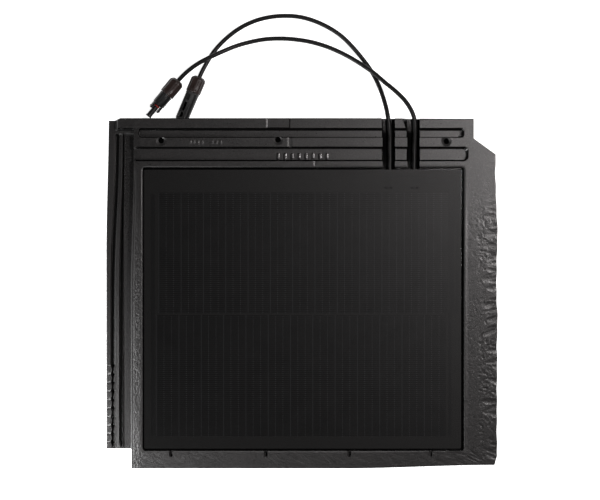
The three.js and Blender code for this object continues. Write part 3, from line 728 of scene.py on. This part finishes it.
def dress_tail(height, xs, ys, rng):
    """Slanting chips all along the tail edge."""
    for _ in range(TAIL_CHIPS):
        x = rng.uniform(-224, 256)
        y = rng.uniform(-231, -213)
        size = (rng.uniform(6.0, 20.0), rng.uniform(1.2, 2.6))
        scoop(height, xs, ys, (x, y), size, rng.uniform(0.08, 0.26), rng.uniform(-0.75, -0.3))


def wavy(y, rng):
    """A smooth uneven wave along the tile, about one high."""
    total = np.zeros_like(y)
    for k in range(WAVES):
        total += math.sin(k + 1.0) * np.sin(y / rng.uniform(4.0, 28.0) + rng.uniform(0, 6.3)) / 2.2
    return total


RIGHT_MARGIN_DROP, RIGHT_MARGIN_SLOPE = 0.45, 5
HEAD_SLOPE_TAIL, HEAD_SLOPE_LENGTH = 60.0, 108.0
RECESS_ARRIS, RECESS_ARRIS_WIDTH = 0.6, 1.8
BODY_WALL, TICK_EDGE = 1.1, 1.2


def relief(x, y, xs, ys, rng):
    """Height of the weather face over the grid, in millimetres."""
    height = np.full_like(x, FACE)
    dress_right_margin(height, xs, ys, rng)
    dress_left_rim(height, xs, ys, rng)
    dress_tail(height, xs, ys, rng)
    height -= RIGHT_MARGIN_DROP * ease((x - RECESS[1]) / RIGHT_MARGIN_SLOPE)
    head = ease((y - HEAD_SLOPE_TAIL) / HEAD_SLOPE_LENGTH)
    height = height * (1 - head) + HEAD_LEVEL * head
    places, drops = zip(*RIM_PROFILE)
    flatter = 0.6 * ease((y - 150) / 20) + 0.55 * ease((-40 - y) / 110)
    height -= np.interp(x, places, drops) * (1 - flatter)
    for channel in CHANNELS:
        height -= (HEAD_LEVEL - channel["floor"]) * channel_depth(x, y, channel)
    for step in STEPS:
        inside = (y > step["y"][0]) & (y < step["y"][1])
        height += step["rise"] * ease((x - step["x"]) / step["ramp"]) * inside
    for first, pitch, count, half, y0, y1, rise in TICK_ROWS:
        for k in range(count):
            middle = first + k * pitch
            away = rounded_box_distance(x, y, (middle - half, middle + half, y0, y1), half)
            height += rise * ease(0.5 - away / TICK_EDGE)
    rim = rounded_box_distance(x, y, RECESS, RECESS_CORNER)
    height -= RECESS_ARRIS * np.clip(1 - rim / RECESS_ARRIS_WIDTH, 0.0, 1.0) ** 2
    wall = ease((x - BODY_LEFT) / BODY_WALL + 0.5)
    low = flange_height(x, y)
    height = low * (1 - wall) + height * wall
    return np.maximum(height, low + (HEAD_LEVEL - low) * head_block(x, y))


def grid_lines(low, high, spans):
    """Lines from low to high, with each (start, end, step) span at its own spacing."""
    lines = {low, high}
    for start, end, step in spans:
        count = max(1, round((end - start) / step))
        lines.update(start + (end - start) * k / count for k in range(count + 1))
    ordered = sorted(lines)
    kept = [ordered[0]]
    for value in ordered[1:]:
        if value - kept[-1] > 0.2:
            kept.append(value)
    kept[-1] = high
    return np.array(kept)


SPANS_X = [
    (LEFT, -221, GRID_FLANGE), (-221, -211, GRID_FINE), (-211, 213, GRID_WIDE), (213, RIGHT, GRID_FINE),
    (-152, -104, 0.7), (-50, -12, 0.8), (-12, 38, 0.8),
]
SPANS_Y = [
    (TAIL, TAIL + 1.2, 0.4), (TAIL + 1.2, 170, GRID_FINE), (170, HEAD - 1.2, 0.7),
    (HEAD - 1.2, HEAD, 0.4),
]
SHOULDER = 175
MARGIN_RIGHT, MARGIN_TAIL, MARGIN_HEAD = 236, -200, 220
TAIL_BOW, HEAD_BOW = 4.5, 0.9
ARRIS_DROP, ARRIS_WIDTH = 0.7, 1.2


def relief_solid():
    """The tile's slab: the relief on top, a flat underside and upright sides."""
    rng = random.Random(SCOOP_SEED)
    xs = grid_lines(LEFT, RIGHT, SPANS_X)
    ys = grid_lines(TAIL, HEAD, SPANS_Y)
    x, y = np.meshgrid(xs, ys, indexing="ij")
    z = relief(x, y, xs, ys, rng)
    wobble = wavy(ys, rng)[None, :] * ease((SHOULDER - ys) / 12)[None, :]
    to_right = np.clip((x - MARGIN_RIGHT) / (RIGHT - MARGIN_RIGHT), 0, 1)
    to_left = np.clip((BODY_LEFT - x) / (BODY_LEFT - LEFT), 0, 1)
    places, leans = zip(*LEAN)
    lean = np.interp(x, places, leans) * ease(y / LEAN_HEAD)
    moved = x + lean + to_right * (right_outline(y, wobble) - RIGHT)
    moved += to_left * (left_outline(y) - LEFT)
    to_tail = np.clip((MARGIN_TAIL - y) / (MARGIN_TAIL - TAIL), 0, 1)
    to_head = np.clip((y - MARGIN_HEAD) / (HEAD - MARGIN_HEAD), 0, 1)
    bowed = y + TAIL_BOW * ease((x - 60) / 190) * to_tail - HEAD_BOW * ease((x - 60) / 160) * to_head
    edge = np.minimum.reduce([RIGHT - x, y - TAIL, HEAD - y, x - LEFT])
    z = z - ARRIS_DROP * np.clip(1 - edge / ARRIS_WIDTH, 0, 1) ** 2
    nx, ny = len(xs), len(ys)
    top = np.stack([moved, bowed, z], axis=-1).reshape(-1, 3)
    ring = [i * ny for i in range(nx)] + [(nx - 1) * ny + j for j in range(1, ny)]
    ring += [i * ny + ny - 1 for i in range(nx - 2, -1, -1)] + [j for j in range(ny - 2, 0, -1)]
    bottom = top[ring].copy()
    bottom[:, 2] = UNDER
    base = nx * ny
    i, j = np.meshgrid(np.arange(nx - 1), np.arange(ny - 1), indexing="ij")
    corner = (i * ny + j).ravel()
    faces = np.stack([corner, corner + ny, corner + ny + 1, corner + 1], axis=1).tolist()
    count = len(ring)
    for k in range(count):
        m = (k + 1) % count
        faces.append((ring[m], ring[k], base + k, base + m))
    faces.append([base + k for k in range(count)][::-1])
    return make_object("clay_tile", np.vstack([top, bottom]), faces)


# ------------------------------------------------------------------ clay tile: cuts and underside

CHANNEL_FLOOR, CHANNEL_HEAD_FLOOR, RAMP_START = 21.4, 24.4, 211.0
CHANNEL_FLARES = (1.5, 7.0)
CHANNEL_BEVEL, CHANNEL_BEVEL_HEIGHT = 1.6, 4
POCKET = ((98.0, 169.5), (95.0, 159.5), 8.0)  # the junction box's: x, y and its floor
NAIL_HOLES = [(-188.0, 203.3), (-32.0, 204.3), (192.7, 202.4)]
NAIL_HOLE_PROFILE = [
    (0, 0), (0, 3.75), (34.5, 3.75), (34.9, 4.2), (35.5, 6.5), (HEAD_LEVEL, 7.1), (FACE, 7.3), (FACE, 0),
]
DRAIN_NOTCHES = (-175.0, -48.4, 62.7, 171.5)
NOTCH_HALF_WIDTH, NOTCH_FLOOR = 2.6, 31.5

# What is cut off at the four corners, out to FAR.
FAR = 300.0
CORNERS = {
    "head_right": [(229.1, FAR), (229.1, 206.1), (258.2, 185.0), (FAR, 154.7), (FAR, FAR)],
    "tail_right": [(FAR, -FAR), (FAR, -205), (263.4, -205), (256.7, -229.5), (254.2, -240), (254.2, -FAR)],
    "head_left": [(-FAR, FAR), (-FAR, 230.4), (-250.5, 230.4), (-243.5, 232.5), (-243, FAR)],
    "tail_left": [(-FAR, -FAR), (-227.6, -FAR), (-227.3, -208.3), (-FAR, -208.3)],
}
NIB_PLACES = (-120, 120)
STIFFENER_PLACES = (-180, -90, 0, 205)


def upright(x, y):
    """Turns a piece revolved about X to stand along Z at (x, y)."""
    return Matrix.Translation((x, y, 0)) @ Matrix.Rotation(math.radians(-90), 4, "Y")


def recess_cutter():
    """The module's recess."""
    x0, x1, y0, y1 = RECESS
    middle = Matrix.Translation(((x0 + x1) / 2, (y0 + y1) / 2, 0))
    outline = rounded_rectangle((x1 - x0) / 2, (y1 - y0) / 2, RECESS_CORNER, 6)
    return prism("recess", outline, RECESS_FLOOR, ABOVE, middle)


def channel_cutter(left, flare):
    """A lead's way out: deep behind the module, then a ramp up to the head edge, flared on one side."""
    right = left + CHANNEL_WIDTH
    stations = [
        (POCKET[1][1], CHANNEL_FLOOR, 0.0), (RAMP_START - 2, CHANNEL_FLOOR, 0.0),
        (RAMP_START + 3, CHANNEL_FLOOR + 2.2, 0.6), (HEAD + 2, CHANNEL_HEAD_FLOOR, flare),
    ]
    vertices = []
    for y, floor, widening in stations:
        low_left = left + CHANNEL_BEVEL - widening * 0.3
        side = floor + CHANNEL_BEVEL_HEIGHT
        vertices += [
            (low_left, y, floor), (right - CHANNEL_BEVEL, y, floor), (right, y, side),
            (right, y, ABOVE), (left - widening, y, ABOVE), (left - widening, y, side),
        ]
    faces = [tuple(range(6)), tuple(range(18, 24))[::-1]]
    for row in range(3):
        for k in range(6):
            m = (k + 1) % 6
            faces.append((row * 6 + k, (row + 1) * 6 + k, (row + 1) * 6 + m, row * 6 + m))
    return close_up(make_object("channel", vertices, faces))


def nail_cutter(x, y):
    """A nail hole: a straight shaft in a shallow ring."""
    return revolve("nail_hole", NAIL_HOLE_PROFILE, 40, upright(x, y))


def notch_cutter(x):
    """A drain notch in the recess's tail edge, with a flat floor and a round end."""
    tail = RECESS[2]
    points = [(x - NOTCH_HALF_WIDTH, tail + 2)]
    for k in range(9):
        angle = math.radians(180 + 22.5 * k)
        points.append((x + NOTCH_HALF_WIDTH * math.cos(angle), tail - 5.2 + 2.8 * math.sin(angle)))
    points.append((x + NOTCH_HALF_WIDTH, tail + 2))
    return prism("notch", points, NOTCH_FLOOR, ABOVE)


def underside_pieces():
    """The boss around the pocket, tail lip, side hook rib, nibs and stiffeners, sunk 1 mm into the slab."""
    (px0, px1), (py0, py1), _ = POCKET
    sunk = UNDER + 1
    pieces = [
        tapered_block("boss", (px0 - 4, px1 + 4), (py0 - 4, py1 + 4), (4, sunk), 1.5),
        tapered_block("lip", (-222, 252), (TAIL + 5.6, TAIL + 18), (0, sunk), 1.2),
        block("hook_rib", (231, 234.5), (-200, 150), (23.5, 29)),
    ]
    for x in NIB_PLACES:
        pieces.append(tapered_block("nib", (x - 30, x + 30), (212, 226), (0, sunk), 1.2))
    for x in STIFFENER_PLACES:
        pieces.append(tapered_block("stiffener", (x - 4, x + 4), (-200, 150), (14, sunk), 1.0))
    return [soften(piece, 1.2, 3) for piece in pieces]


def clay_tile():
    """The slab with its outline, its underside and all its openings."""
    tile = relief_solid()
    outline = [prism(name, points, -1.0, ABOVE) for name, points in CORNERS.items()]
    undercut = block("undercut", (228, 265), (-212, 240), (10, 28))
    combine(tile, [recess_cutter(), *outline, undercut], "DIFFERENCE")
    combine(tile, underside_pieces(), "UNION")
    px, py, floor = POCKET
    cutters = [block("pocket", px, py, (floor, RECESS_FLOOR + 1))]
    cutters += [channel_cutter(left, flare) for left, flare in zip(CHANNEL_LEFTS, CHANNEL_FLARES)]
    cutters += [nail_cutter(x, y) for x, y in NAIL_HOLES]
    cutters += [notch_cutter(x) for x in DRAIN_NOTCHES]
    combine(tile, cutters, "DIFFERENCE")
    close_up(tile)
    return shade(tile, CLAY, 32)


tile = clay_tile()
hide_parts("tile_body")
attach(tile, "root")


# ------------------------------------------------------------------ module and junction box: finishes

def dress(node, material, bevel=None):
    """Gives a CAD node its finish, and rounds its arrises where they show."""
    obj = frame["nodes"][node]
    obj.data.materials.clear()
    obj.data.materials.append(material)
    if bevel:
        add_bevel(obj, bevel)


RIBBONS = ["string_link_ribbon", "positive_ribbon", "negative_ribbon"]
FINISHES = [
    (GLASS, 0.15, ["front_glass"]),
    (FILM, None, ["front_encapsulant"]),
    (BLACK_FILM, None, ["rear_encapsulant", "backsheet"]),
    (RIBBON, None, [*RIBBONS, "terminal_left", "terminal_right"]),
    (SILICONE, 0.3, ["adhesive_bead_1", "adhesive_bead_2", "adhesive_bead_3"]),
    (BOX_PLASTIC, 0.4, ["junction_box_base", "junction_box_lid", "gland_left", "gland_right"]),
    (DIODE_PLASTIC, 0.4, ["bypass_diode"]),
    (SEAL_RUBBER, 0.15, ["lid_gasket", "probe_gland_seal", "shell_gland_seal"]),
    (TINNED, 0.15, ["shell_contact", "probe_contact"]),
    (HOUSING_PLASTIC, 0.1, ["probe_clamp_basket", "shell_clamp_basket"]),
]
CELLS_IN_ROW = 13

for material, bevel, nodes in FINISHES:
    for node in nodes:
        dress(node, material, bevel)
for row in CELL_LEFT:
    for number in range(CELLS_IN_ROW):
        dress(f"cell_{row}_{number + 1:02d}", CELLS[row])


# ------------------------------------------------------------------ connectors

def connector_matrix(x, y, heading):
    """Places a piece revolved about X at a connector's cable end, pointing along its heading in degrees."""
    return Matrix.Translation((x, y, CONNECTOR_Z)) @ Matrix.Rotation(math.radians(heading), 4, "Z")


PROBE = connector_matrix(-166.8, 284.9, -130)
SHELL = connector_matrix(-138.1, 289.3, -113)
SHELL_ROLL = Matrix.Rotation(math.radians(22), 4, "X")
LATCH_ROLL = Matrix.Rotation(math.radians(-25), 4, "X")
NUT_RADIUS = 10.2
NUT_FLUTES, FLUTE_DEPTH = 10, 0.55
SLEEVE_RADIUS = 7.0
RAIL_ANGLES = (27, 65, 103, 207, 245, 283)


def cap_nut(name, length, matrix):
    """A fluted cap nut with a tapered back, a plain collar in front and a bore for the cable."""
    outer = [
        (-0.6, 4.2), (-0.6, 6.4), (-0.3, 6.9), (1.6, 9.0), (2.6, 9.75), (3.6, 10.1), (4.6, NUT_RADIUS),
        (6.4, NUT_RADIUS), (length * 0.5, NUT_RADIUS), (length - 4.4, NUT_RADIUS),
        (length - 3.6, NUT_RADIUS), (length - 3.2, 9.95), (length - 2.9, 9.95),
        (length - 2.6, NUT_RADIUS), (length - 0.9, NUT_RADIUS), (length - 0.3, 9.9), (length, 9.5),
    ]
    inner = [(length, 7.6), (length - 0.4, 7.4), (4.0, 7.4), (4.0, 4.2)]

    def fluted(x, r, angle):
        if r < SLEEVE_RADIUS + 1:
            return r
        wave = 0.5 + 0.5 * math.cos(angle * NUT_FLUTES)
        groove = max(0.0, (wave - 0.35) / 0.65) ** 0.8
        ends = min(1.0, max(0.0, (x - 1.6) / 2.5)) * min(1.0, max(0.0, (length - 3.8 - x) / 0.7))
        return r - FLUTE_DEPTH * groove * ends

    return shade(revolve(name, outer + inner, 144, matrix, fluted), NUT_PLASTIC, 40)


def probe_housing():
    """The female half's body: sleeve, shouldered barrel with rails, web and the long mating probe."""
    outline = [
        (9.5, 6.2), (9.5, SLEEVE_RADIUS), (24.4, SLEEVE_RADIUS), (24.4, 9.1), (26.0, 9.1), (26.4, 8.8),
        (40.8, 8.5), (42.4, 7.6), (42.4, 4.2), (42.7, 3.7), (42.9, 3.7), (43.0, 3.05), (45.8, 3.05),
        (45.9, 3.7), (60.3, 3.7), (60.8, 4.2), (62.0, 4.2), (62.7, 3.8), (62.7, 2.3), (42.0, 2.3),
        (42.0, 2.7), (26.2, 2.7), (26.2, 3.5), (21.4, 3.5), (21.4, 6.2),
    ]
    body = revolve("probe_body", rounded_corners(outline, 0.3), 72, PROBE)
    seats = []
    for side in (-1, 1):
        low, high = sorted((4.65 * side, 10 * side))
        seats.append(block("seat", (34.15, 43.5), (low, high), (-3.15, 3.15), PROBE @ LATCH_ROLL))
    combine(body, seats, "DIFFERENCE")
    rails = []
    for angle in RAIL_ANGLES:
        turn = PROBE @ Matrix.Rotation(math.radians(angle - 90), 4, "X")
        rails.append(soften(block("rail", (27.2, 37.6), (-0.9, 0.9), (7.5, 9.05), turn), 0.25))
    half_web = [(41.0, 5.0), (44.4, 4.4), (50.3, 3.8)]
    web = half_web + [(x, -y) for x, y in reversed(half_web)]
    combine(body, [*rails, prism("web", web, -3.2, -2.0, PROBE @ LATCH_ROLL)], "UNION")
    return shade(soften(body, 0.12, 1, 50), HOUSING_PLASTIC)


def latch_arm(name, side):
    """A spring arm with a barbed end, on one side of the probe."""
    plan = [
        (34.5, 5.6), (42.0, 5.5), (49.6, 5.2), (51.2, 5.4), (51.2, 6.4), (48.2, 8.2), (47.6, 8.1),
        (47.5, 7.3), (41.8, 7.5), (40.6, 8.3), (34.5, 8.4),
    ]
    arm = prism(name, [(x, y * side) for x, y in plan], -2.8, 2.8, PROBE @ LATCH_ROLL)
    return shade(soften(arm, 0.3), HOUSING_PLASTIC)


def o_ring():
    """The red seal, slightly flattened, in the groove round the probe."""
    profile = []
    for k in range(18):
        angle = math.radians(20 * k)
        profile.append((44.4 + 0.95 * math.cos(angle), 3.75 + 0.7 * math.sin(angle)))
    return shade(revolve("probe_o_ring_seal", profile, 64, PROBE), RED_RUBBER, 60)


def shell_housing():
    """The male half's body: a sleeve and a barrel, windowed where the probe's arms catch."""
    quarter = math.radians(90)
    sideways = SHELL @ Matrix.Rotation(quarter, 4, "Z") @ Matrix.Rotation(quarter, 4, "X")
    barrel = prism("shell_body", rounded_rectangle(9.1, 8.3, 5.0, 8), 22.4, 62.5, sideways)
    round_outline = [(0, 0), (0, 9.5), (24.3, 9.5), (24.6, 8.9), (60.8, 8.75), (62.5, 8.0), (62.5, 0)]
    combine(barrel, [revolve("envelope", rounded_corners(round_outline, 0.3), 72, SHELL)], "INTERSECT")
    sleeve_outline = [(9.5, 0), (9.5, SLEEVE_RADIUS), (23.0, SLEEVE_RADIUS), (23.0, 0)]
    combine(barrel, [revolve("sleeve", sleeve_outline, 72, SHELL)], "UNION")
    bore_outline = [
        (9.0, 0), (9.0, 6.2), (21.4, 6.2), (21.4, 3.5), (26.2, 3.5), (26.2, 2.7), (37.0, 2.7), (37.0, 0),
    ]
    bore = revolve("bore", bore_outline, 48, SHELL)
    cavity_outline = [(36.0, 0), (36.0, 6.1), (61.7, 6.1), (63.0, 6.9), (63.5, 6.9), (63.5, 0)]
    cavity = revolve("cavity", cavity_outline, 72, SHELL)
    rolled = SHELL @ SHELL_ROLL
    windows = [
        block("window", (26.0, 34.0), (-2.3, 2.3), (7.2, 12), rolled),
        block("window", (37.5, 49.5), (-2.3, 2.3), (3, 12), rolled),
        block("window", (52.0, 58.5), (-3, 3), (3, 12), rolled),
        block("window", (52.0, 58.5), (-3, 3), (-12, -3), rolled),
    ]
    combine(barrel, [bore, cavity, *[soften(w, 0.5) for w in windows]], "DIFFERENCE")
    return shade(soften(barrel, 0.15, 1, 50), HOUSING_PLASTIC)


def stand_in(obj, node, body="root"):
    """Shows obj in place of a CAD node, riding on a body."""
    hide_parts(node)
    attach(obj, body)
    return obj


probe_nut = stand_in(cap_nut("probe_nut_cap", 24, PROBE), "probe_cap_nut", "probe_nut")
shell_nut = stand_in(cap_nut("shell_nut_cap", 22, SHELL), "shell_cap_nut", "shell_nut")
probe_body = stand_in(probe_housing(), "probe_housing")
shell_body = stand_in(shell_housing(), "shell_housing")
arm_left = stand_in(latch_arm("arm_left", 1), "latch_arm_left", "latch_left")
arm_right = stand_in(latch_arm("arm_right", -1), "latch_arm_right", "latch_right")
ring_seal = stand_in(o_ring(), "probe_o_ring")

for lead, node in ((left_cable, "cable_left"), (right_cable, "cable_right")):
    stand_in(lead, node)


# ------------------------------------------------------------------ floor and light

def pale_floor():
    """A board that glows evenly white all round the tile, washing out the tile's shadow there, with painted
    shade beneath it.
    """
    signs = ((-1, -1), (1, -1), (1, 1), (-1, 1))
    corners = [(sx * FLOOR_HALF, sy * FLOOR_HALF, FLOOR_LEVEL) for sx, sy in signs]
    floor = make_object("floor", corners, [(0, 1, 2, 3)])
    n = Nodes("floor_white")
    x, y, _ = n.xyz()
    beside = n.fade(n.math("ABSOLUTE", x), 221, 228)
    beyond = n.fade(n.math("ABSOLUTE", y), 222, 229)
    outside = n.largest(beside, beyond)
    white = n.mix(n.noise(3, 2), grey(0.78), grey(0.82))
    # Painted shade: the board is almost black under the tile's footprint, and white outside it.
    n.set(Base_Color=n.mix(outside, grey(0.02), white), Roughness=0.9)
    n.set(Emission_Color=grey(1.0), Emission_Strength=n.product(outside, BOARD_LIGHT))
    floor.data.materials.append(n.material)


def area_light(name, place, target, size, power, spread=180):
    """A square light in metres and watts, aimed at its target and not seen itself."""
    data = bpy.data.lights.new(name, "AREA")
    data.shape = "SQUARE"
    data.size = size
    data.energy = power
    data.spread = math.radians(spread)
    light = bpy.data.objects.new(name, data)
    light.location = place
    light.rotation_euler = (Vector(target) - Vector(place)).to_track_quat("-Z", "Y").to_euler()
    light.visible_camera = False
    scene.collection.objects.link(light)
    return light


def split_lighting(clay_light, module_light):
    """Keeps one low light off the module and the other on it alone, as flags beside them would."""
    sheets = ("front_glass", "front_encapsulant", "rear_encapsulant", "backsheet")
    module = {obj for name, obj in frame["nodes"].items()
              if name in sheets or name in RIBBONS or name.startswith("cell_")}
    clay_lit = bpy.data.collections.new("lit_by_fill")
    module_lit = bpy.data.collections.new("lit_by_module_fill")
    for obj in scene.objects:
        if obj.type in {"MESH", "CURVE"}:
            (module_lit if obj in module else clay_lit).objects.link(obj)
    clay_light.light_linking.receiver_collection = clay_lit
    module_light.light_linking.receiver_collection = module_lit


def studio_world():
    """A dark studio with paler walls, in front of a white backdrop."""
    world = bpy.data.worlds.new("studio")
    world.use_nodes = True
    tree = world.node_tree
    direction = tree.nodes.new("ShaderNodeTexCoord").outputs["Generated"]
    split = tree.nodes.new("ShaderNodeSeparateXYZ")
    tree.links.new(direction, split.inputs[0])
    fade = tree.nodes.new("ShaderNodeMapRange")
    for socket, value in zip(fade.inputs[1:5], (0.06, 0.3, WALL_LIGHT, CEILING_LIGHT)):
        socket.default_value = value
    tree.links.new(split.outputs["Z"], fade.inputs[0])
    backdrop = tree.nodes.new("ShaderNodeMath")
    backdrop.operation = "MAXIMUM"
    tree.links.new(fade.outputs[0], backdrop.inputs[0])
    tree.links.new(tree.nodes.new("ShaderNodeLightPath").outputs["Is Camera Ray"], backdrop.inputs[1])
    background = tree.nodes["Background"]
    background.inputs["Color"].default_value = (1, 1, 1, 1)
    tree.links.new(backdrop.outputs[0], background.inputs["Strength"])
    return world


WALL_LIGHT = 0.12
CEILING_LIGHT = 0.01
BOARD_LIGHT = 1.0
FLOOR_HALF, FLOOR_LEVEL = 4000, -0.5
KEY_COLOUR = (1.0, 0.955, 0.95)
pale_floor()
key = area_light("key", place=(0.76, 0.44, 1.6), target=(0.05, 0.05, 0.03), size=0.25, power=20.8)
key.data.color = KEY_COLOUR
fill = area_light(
    "fill", place=(-0.56, -0.36, 0.46), target=(-0.05, -0.3, 0.03), size=0.3, power=5.7, spread=130)
module_fill = area_light(
    "module_fill", place=(-0.5, -0.5, 0.7), target=(-0.15, -0.15, 0.03), size=0.3, power=1.4)
split_lighting(fill, module_fill)
scene.world = studio_world()
scene.view_settings.view_transform = "Standard"
